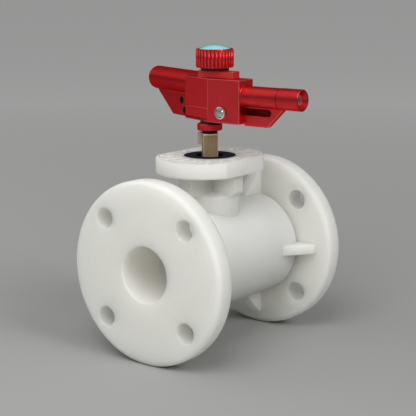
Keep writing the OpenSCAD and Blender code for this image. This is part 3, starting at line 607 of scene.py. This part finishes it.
def rib_tree(finish):
    """Geometry Nodes that stand round ribs with pointed ends on a circle."""
    tree = bpy.data.node_groups.new("ribs", "GeometryNodeTree")
    socket = tree.interface.new_socket
    socket("Geometry", in_out="INPUT", socket_type="NodeSocketGeometry")
    socket("Ribs", in_out="INPUT", socket_type="NodeSocketInt")
    for name in ("Circle", "Rib radius", "Bottom", "Top", "End"):
        socket(name, in_out="INPUT", socket_type="NodeSocketFloat")
    socket("Centre", in_out="INPUT", socket_type="NodeSocketVector")
    socket("Geometry", in_out="OUTPUT", socket_type="NodeSocketGeometry")

    def node(kind, **settings):
        made = tree.nodes.new(kind)
        for key, value in settings.items():
            setattr(made, key, value)
        return made

    def maths(operation, first, second):
        made = node("ShaderNodeMath", operation=operation)
        for entry, value in zip(made.inputs, (first, second)):
            if isinstance(value, float):
                entry.default_value = value
            else:
                tree.links.new(value, entry)
        return made.outputs[0]

    given = node("NodeGroupInput").outputs
    join = tree.links.new

    def end_cap(height, low, high):
        """A cone between two shares of the rib's radius, lifted to a height."""
        cone = node("GeometryNodeMeshCone")
        cone.inputs["Vertices"].default_value = RIB_SIDES
        join(given["End"], cone.inputs["Depth"])
        for name, share in (("Radius Bottom", low), ("Radius Top", high)):
            join(maths("MULTIPLY", given["Rib radius"], share), cone.inputs[name])
        return lifted(cone.outputs["Mesh"], height)

    def lifted(mesh, height):
        """A mesh moved up."""
        move = node("GeometryNodeTransform")
        place = node("ShaderNodeCombineXYZ")
        join(height, place.inputs["Z"])
        join(mesh, move.inputs["Geometry"])
        join(place.outputs[0], move.inputs["Translation"])
        return move.outputs[0]

    shaft = node("GeometryNodeMeshCylinder")
    shaft.inputs["Vertices"].default_value = RIB_SIDES
    length = maths("SUBTRACT", given["Top"], given["Bottom"])
    join(maths("SUBTRACT", length, maths("MULTIPLY", given["End"], 2.0)), shaft.inputs["Depth"])
    join(given["Rib radius"], shaft.inputs["Radius"])
    halfway = maths("MULTIPLY", maths("ADD", given["Top"], given["Bottom"]), 0.5)
    rib = node("GeometryNodeJoinGeometry")
    join(lifted(shaft.outputs["Mesh"], halfway), rib.inputs[0])
    join(end_cap(given["Bottom"], RIB_POINT, 1.0), rib.inputs[0])
    join(end_cap(maths("SUBTRACT", given["Top"], given["End"]), 1.0, RIB_POINT), rib.inputs[0])
    smooth = node("GeometryNodeSetShadeSmooth")
    join(rib.outputs[0], smooth.inputs["Geometry"])

    circle = node("GeometryNodeMeshCircle")
    join(given["Ribs"], circle.inputs["Vertices"])
    join(given["Circle"], circle.inputs["Radius"])
    placed = node("GeometryNodeTransform")
    join(circle.outputs["Mesh"], placed.inputs["Geometry"])
    join(given["Centre"], placed.inputs["Translation"])
    stand = node("GeometryNodeInstanceOnPoints")
    join(placed.outputs[0], stand.inputs["Points"])
    join(smooth.outputs[0], stand.inputs["Instance"])
    both = node("GeometryNodeJoinGeometry")
    join(stand.outputs[0], both.inputs[0])
    join(given["Geometry"], both.inputs[0])
    real = node("GeometryNodeRealizeInstances")
    join(both.outputs[0], real.inputs[0])
    dressed = node("GeometryNodeSetMaterial")
    dressed.inputs["Material"].default_value = finish
    join(real.outputs[0], dressed.inputs["Geometry"])
    join(dressed.outputs[0], node("NodeGroupOutput").inputs[0])
    return tree


# Operators
class VALVE_OT_moulding(bpy.types.Operator):
    """White mouldings: body, end insert and ball"""

    bl_idname = "valve.moulding"
    bl_label = "Mouldings"

    def execute(self, context):
        colours, edges = context.scene.valve_finishes, context.scene.valve_edges
        white = list(colours.moulding)
        turned = (CAD_BOX[0].y, CAD_BOX[1].y, list(colours.bore))
        body = white_moulding("white_moulding", white, edges.moulding, turned=turned)
        dress(body, "valve_body")
        # Painted light: the insert is lighter than the body's white
        lighter = tint(white, INSERT_PAINTED_LIGHT)
        insert = white_moulding("insert_moulding", lighter, edges.moulding / 2, depth=0.012)
        dress(insert, "end_insert")
        dress(white_moulding("turned_ball", tint(white, BALL_SHADE), edge=0.0005), "ball")
        return {"FINISHED"}


class VALVE_OT_seals(bpy.types.Operator):
    """Seats, washers and o-rings"""

    bl_idname = "valve.seals"
    bl_label = "Seals"

    def execute(self, context):
        colours = context.scene.valve_finishes
        seat = plain_plastic("seat_plastic", list(colours.seat), rough=0.4, edge=0.0003)
        dress(seat, "inlet_seat", "outlet_seat", "thrust_washer")
        seal = rubber("seal_rubber", list(colours.seal))
        dress(
            seal, "insert_o_ring", "inlet_seat_o_ring", "outlet_seat_o_ring", "stem_o_rings",
            "gland_o_ring", "neck_ring", "hub_washer", "web_liners",
        )
        return {"FINISHED"}


class VALVE_OT_stem(bpy.types.Operator):
    """Stem, stop lug and gland ring"""

    bl_idname = "valve.stem"
    bl_label = "Stem"

    def execute(self, context):
        colours = context.scene.valve_finishes
        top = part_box("stem")[1].z
        stem = machined_plastic("stem_plastic", list(colours.stem), list(colours.paler), top)
        dress(stem, "stem")
        lug = plain_plastic("lug_plastic", list(colours.lug), rough=0.5, edge=0.0006)
        dress(lug, "stop_lug")
        gland = plain_plastic(
            "gland_plastic", list(colours.gland), rough=0.5, edge=0.0004, gloss=0.04
        )
        dress(gland, "gland_ring")
        return {"FINISHED"}


class VALVE_OT_fasteners(bpy.types.Operator):
    """Stud, pin, screws, bolts, spring, clip and button"""

    bl_idname = "valve.fasteners"
    bl_label = "Fasteners"

    def execute(self, context):
        colours = context.scene.valve_finishes
        black = turned_metal(
            "black_steel", list(colours.black_steel), rough=0.38, edge=0.0003
        )
        dress(black, "drive_stud", "collar_set_screw", "plate_screws")
        bright = list(colours.steel)
        steel = turned_metal("turned_steel", bright, rough=0.3, edge=0.0003)
        dress(
            steel, "stud_pin", "left_bar_bolt", "button_clip", "knob_retainer", "clamp_plunger",
        )
        centre = middle("lock_button")
        centre.y = 0.0
        button = turned_metal(
            "button_steel", bright, rough=0.3, edge=0.0003, bevel=(centre, *BUTTON_BEVEL)
        )
        dress(button, "lock_button")
        self.coil_spring(steel)
        tinted = turned_metal("tinted_steel", list(colours.tinted), rough=0.35, edge=0.0004)
        dress(tinted, "right_bar_bolt")
        return {"FINISHED"}

    def coil_spring(self, steel):
        """A smooth-shaded copy of the spring, on the handle's body; how much a press would
        shorten it is worked out but not used.
        """
        low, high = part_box("button_spring")
        press = next(joint for joint in frame["joints"] if joint["name"] == "button_press")
        mesh = clean_copy("button_spring", "coiled_spring")
        spring = link("coiled_spring", mesh, steel, "handle")
        shade(mesh, COILED_BEND)
        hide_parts("button_spring")
        keep = 1 - press["range_m"][1] / (high.y - low.y)
        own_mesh(spring)


class VALVE_OT_handle(bpy.types.Operator):
    """Red block, bars, webs, plate and collar with bevelled edges"""

    bl_idname = "valve.handle"
    bl_label = "Handle"

    def execute(self, context):
        colours, edges = context.scene.valve_finishes, context.scene.valve_edges
        colour = list(colours.anodised)
        # A lighter red on the bevel faces, a painted highlight
        bright = anodised("anodised_red_painted_highlight", list(colours.bright))
        block = anodised("anodised_red", colour)
        low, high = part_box("cover_plate")
        recess = (low - RECESS_MARGIN, high + RECESS_MARGIN)
        edged("handle_block", block, bright, "handle", edges.block, recess)
        for node, finish in (
            ("cover_plate", block),
            # The plate's lower metallic makes it a lighter copy of the red, painted light where
            # the knob shades it
            ("knob_plate", anodised("anodised_red_plate", colour, metallic=0.7)),
            # The left web is a darker copy of the red, painted shade under the bar above it
            ("left_web", anodised("anodised_red_shaded_web", tint(colour, PAINTED_WEB_SHADE))),
            # The right web's pocket gets painted shade
            ("right_web", anodised("anodised_red_shaded_pocket", colour, pocket=self.pocket())),
        ):
            edged(node, finish, bright, "handle", edges.bar)
        # The bars and collar are darker copies of the red, painted shade
        bar = anodised("anodised_red_shaded_bar", tint(colour, PAINTED_BAR_SHADE), edge=0.0004)
        dress(bar, "left_grip_bar", "right_grip_bar", "right_grip_sleeve")
        collar = anodised("anodised_red_shaded_collar", tint(colour, PAINTED_COLLAR_SHADE), edge=0.0004)
        dress(collar, "hub_collar")
        return {"FINISHED"}

    def pocket(self):
        """Lowest and highest corner of the pocket milled in the right web, the box that gets
        painted shade.
        """
        low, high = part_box("right_web")
        return (
            (low.x, low.y + POCKET_FRONT, low.z + POCKET_BOTTOM),
            (low.x + POCKET_LENGTH, low.y + POCKET_BACK, high.z),
        )


class VALVE_OT_knob(bpy.types.Operator):
    """Fluted knob and its domed cap"""

    bl_idname = "valve.knob"
    bl_label = "Knob"

    def execute(self, context):
        colours, edges = context.scene.valve_finishes, context.scene.valve_edges
        low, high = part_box("knob")
        centre = middle("knob")
        centre.z = 0.0
        radius = (high.x - low.x) / 2
        flutes = (centre, radius - GROOVE_BOTTOM, radius - GROOVE_TOP)
        red = anodised(
            "anodised_red_knob", list(colours.anodised), flutes=flutes, metallic=0.9
        )
        core = lathe("fluted_knob", self.profile(low, high, edges), centre, CORE_SIDES)
        piece = link("fluted_knob", core, red, "knob")
        ribs = piece.modifiers.new("ribs", "NODES")
        ribs.node_group = rib_tree(red)
        values = {
            "Ribs": edges.ribs,
            "Circle": radius - edges.rib_depth,
            "Rib radius": edges.rib_depth,
            "Bottom": KNOB_FOOT,
            "Top": high.z,
            "End": edges.knob_chamfer,
            "Centre": tuple(centre),
        }
        for item in ribs.node_group.interface.items_tree:
            if item.name in values:
                ribs[item.identifier] = values[item.name]
        settle(piece)
        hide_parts("knob")
        cap = glossy_cap("cap_gloss", list(colours.cap), list(colours.cap_bright))
        dress(cap, "knob_cap")
        return {"FINISHED"}

    def profile(self, low, high, edges):
        """Half profile of the knob's core, from its boss up to the seat of the cap."""
        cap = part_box("knob_cap")
        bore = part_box("clamp_plunger")
        inner = (bore[1].x - bore[0].x) / 2 + RUN_GAP
        seat = (cap[1].x - cap[0].x) / 2 + PRESS_GAP
        outer = (high.x - low.x) / 2 - RIB_SHOWS * edges.rib_depth
        edge = edges.knob_chamfer
        return [
            (inner, low.z), (BOSS_RADIUS, low.z), (BOSS_RADIUS, KNOB_FOOT),
            (outer - edge, KNOB_FOOT), (outer, KNOB_FOOT + edge),
            (outer, high.z - edge), (outer - edge / 2, high.z),
            (seat, high.z), (seat, cap[0].z), (inner, cap[0].z),
        ]


class VALVE_OT_stage(bpy.types.Operator):
    """Floor, lights, room light and camera"""

    bl_idname = "valve.stage"
    bl_label = "Stage"

    def execute(self, context):
        studio = context.scene.valve_studio
        self.lay_floor(context, studio)
        self.hang_lights(context, studio)
        self.set_camera(context, studio)
        context.scene.view_settings.view_transform = "Standard"
        return {"FINISHED"}

    def lay_floor(self, context, studio):
        """Pale paper that gets lighter with distance and darker on the right."""
        mesh = bpy.data.meshes.new("floor")
        sides = ((-1, -1), (1, -1), (1, 1), (-1, 1))
        corners = [(x * FLOOR_REACH, y * FLOOR_REACH, CAD_BOX[0].z) for x, y in sides]
        mesh.from_pydata(corners, [], [(0, 1, 2, 3)])
        floor = bpy.data.objects.new("floor", mesh)
        context.scene.collection.objects.link(floor)
        paper = Finish("floor_paper")
        colour = list(studio.floor)
        away = paper.add("VectorMath", {"operation": "LENGTH"}, paper.place(), out="Value")
        lighter = paper.shades(paper.rise(away, 0.3, 2.0), colour, 1.0, 1.8)
        to_right = paper.rise(paper.part(0), 0.35, 1.1)
        paper.set(Base_Color=paper.blend(to_right, lighter, tint(colour, 0.7)))
        paper.set(Roughness=0.9, Specular_IOR_Level=0.1)
        mesh.materials.append(paper.material)

    def hang_lights(self, context, studio):
        """Three soft lamps and a sun that face the valve, and a room that is lighter above."""
        world = bpy.data.worlds.new("room")
        context.scene.world = world
        world.use_nodes = True
        room = Shading(world.node_tree)
        height = room.add("SeparateXYZ", {}, room.add("TexCoord", {}, out="Generated"), out="Z")
        red, green, blue, alpha = tint(list(studio.room), 0.45)
        below = (red, green * 0.96, blue * 0.8, alpha)
        above = tint(list(studio.room), 1.5)
        light = room.ramp(height, (0.05, below), (0.75, above))
        room.fill(room.nodes["Background"].inputs["Color"], light)
        aim = Vector((0.0, middle("stem").y, LAMP_AIM))
        for name, kind, strength, size, spot in (
            ("front", "AREA", studio.front, 0.8, (0.50, -1.22, 0.46)),
            ("top", "AREA", studio.top, 0.9, (0.32, -0.82, 1.15)),
            ("left", "AREA", studio.left, 1.0, (-0.60, -0.20, 0.75)),
            ("side", "SUN", studio.side, math.radians(25), (1.05, 0.00, 0.75)),
        ):
            lamp = bpy.data.lights.new(name, kind)
            lamp.energy = strength
            if kind == "AREA":
                lamp.size = size
            else:
                lamp.angle = size
            holder = bpy.data.objects.new(name, lamp)
            holder.visible_glossy = name not in ("front", "top")
            context.scene.collection.objects.link(holder)
            holder.location = spot
            holder.rotation_euler = (aim - Vector(spot)).to_track_quat("-Z", "Y").to_euler()

    def set_camera(self, context, studio):
        """A camera at the photograph's view."""
        lens = bpy.data.cameras.new("camera")
        lens.lens = studio.lens
        lens.sensor_width = 36.0
        lens.clip_end = 60.0
        camera = bpy.data.objects.new("camera", lens)
        context.scene.collection.objects.link(camera)
        turn = Vector(CAMERA_AHEAD).to_track_quat("-Z", "Y").to_matrix()
        turn = turn @ Matrix.Rotation(CAMERA_ROLL, 3, "Z")
        camera.matrix_world = Matrix.Translation(CAMERA_AT) @ turn.to_4x4()
        context.scene.camera = camera


class VALVE_PT_panel(bpy.types.Panel):
    """Lists the steps that dress the valve"""

    bl_label = "Ball valve"
    bl_idname = "VALVE_PT_panel"
    bl_space_type = "VIEW_3D"
    bl_region_type = "UI"
    bl_category = "Valve"

    def draw(self, context):
        scene = context.scene
        for group in (scene.valve_finishes, scene.valve_edges, scene.valve_studio):
            box = self.layout.box()
            for key in group.__annotations__:
                box.prop(group, key)
        for step in STEPS:
            self.layout.operator(step.bl_idname)


GROUPS = {
    "valve_finishes": ValveFinishes,
    "valve_edges": ValveEdges,
    "valve_studio": ValveStudio,
}
STEPS = (
    VALVE_OT_stage,
    VALVE_OT_moulding,
    VALVE_OT_seals,
    VALVE_OT_stem,
    VALVE_OT_fasteners,
    VALVE_OT_handle,
    VALVE_OT_knob,
)


def register():
    for cls in (*GROUPS.values(), *STEPS, VALVE_PT_panel):
        bpy.utils.register_class(cls)
    for name, group in GROUPS.items():
        setattr(bpy.types.Scene, name, bpy.props.PointerProperty(type=group))


def unregister():
    for name in GROUPS:
        delattr(bpy.types.Scene, name)
    for cls in reversed((*GROUPS.values(), *STEPS, VALVE_PT_panel)):
        bpy.utils.unregister_class(cls)


def main():
    """Registers the add-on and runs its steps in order."""
    register()
    for step in STEPS:
        group, call = step.bl_idname.split(".")
        getattr(getattr(bpy.ops, group), call)()


if __name__ == "__main__":
    main()
